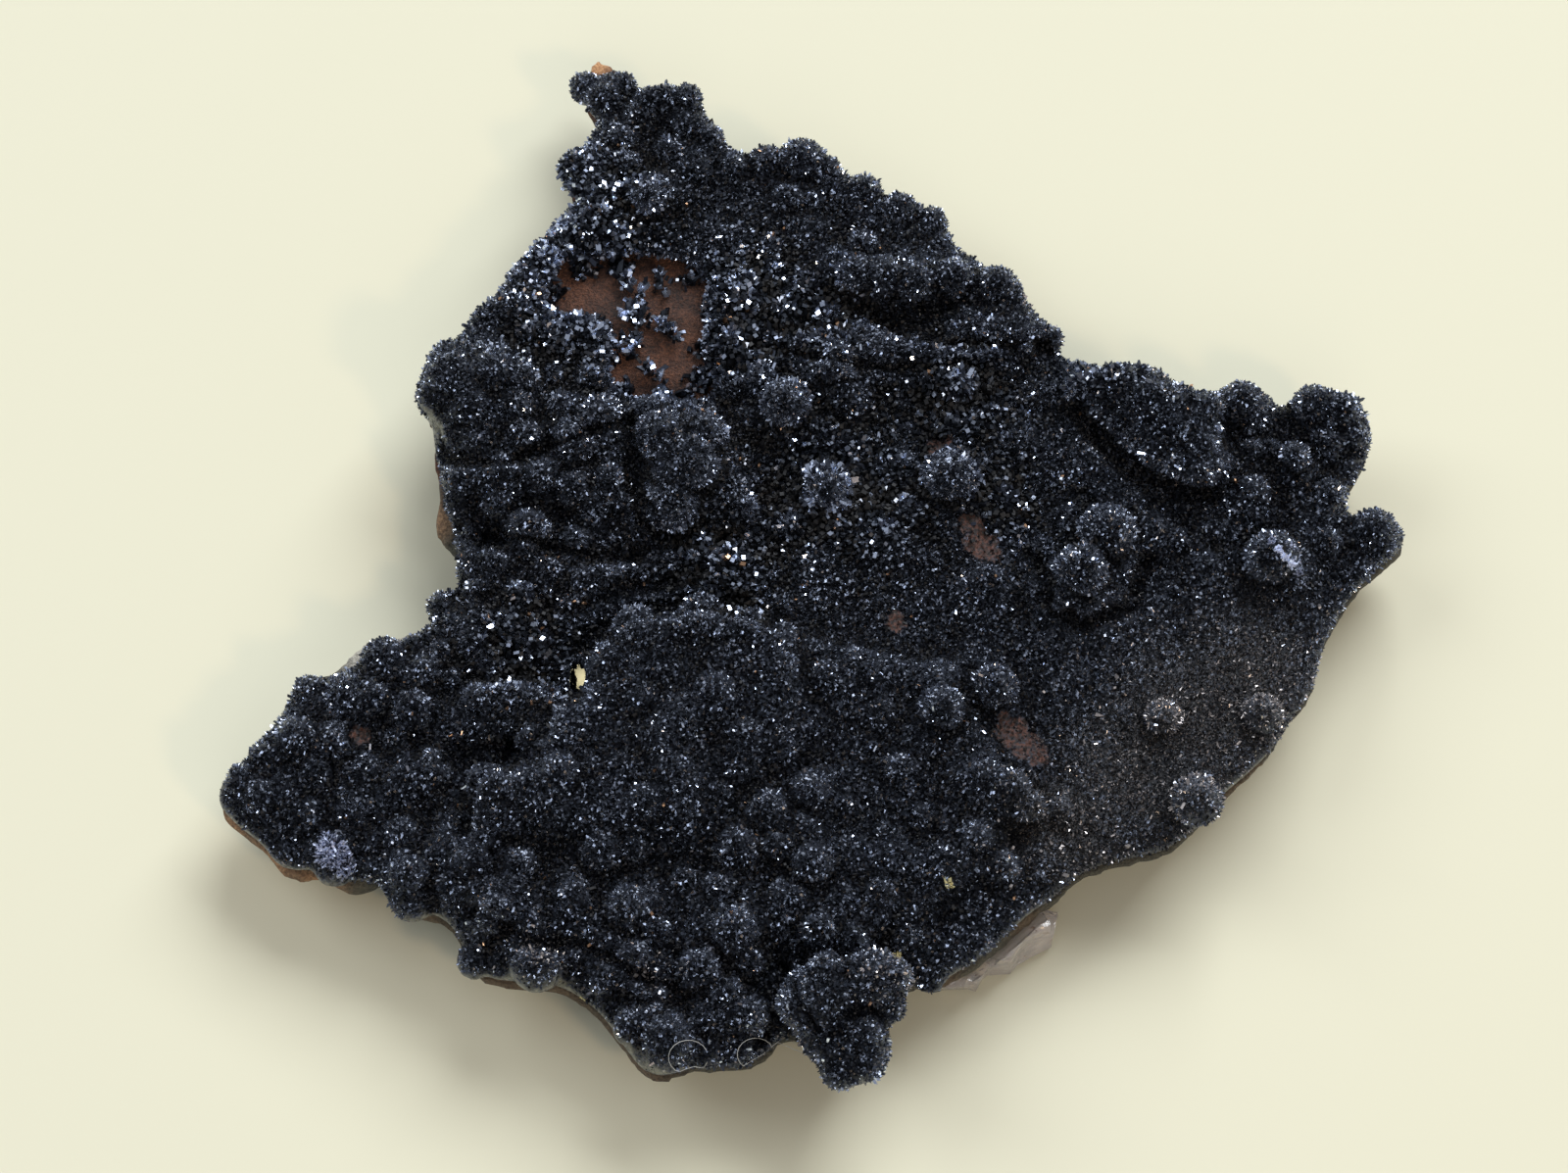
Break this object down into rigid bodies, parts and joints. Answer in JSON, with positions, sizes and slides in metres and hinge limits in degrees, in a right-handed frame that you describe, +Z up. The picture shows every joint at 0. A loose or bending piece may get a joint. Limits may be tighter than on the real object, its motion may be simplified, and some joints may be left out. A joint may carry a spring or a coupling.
{
  "type": "pyrolusite specimen",
  "caption": "Mineral specimen: a black, sparkling pyrolusite crust of knobs and ledges on a thin brown oxide plate, lying on its back.",
  "frame": {"origin": "middle of the underside of the bounding box, on the surface that the specimen lies on", "axes": "+Z up, out of the crystal crust; +Y towards the pointed tip of the plate; +X to the right seen from above with the tip away from the viewer"},
  "size_m": [0.1204, 0.1186, 0.0157],
  "materials": {
    "matrix": "earthy brown iron and manganese oxide, matte and slightly grainy",
    "pyrolusite": "black with a steely, faintly blue metallic sparkle on thousands of tiny crystal faces",
    "calcite": "colourless to faintly pink, see-through, glassy crystal faces"
  },
  "bodies": {
    "root": {"matrix": "matrix", "pyrolusite_crust": "pyrolusite", "crystal_group_chain": "pyrolusite", "crystal_group_pair": "pyrolusite", "crystal_group_right": "pyrolusite", "crystal_group_ring": "pyrolusite", "crystal_group_single": "pyrolusite", "crystal_group_low": "pyrolusite", "calcite": "calcite"}
  },
  "joints": []
}
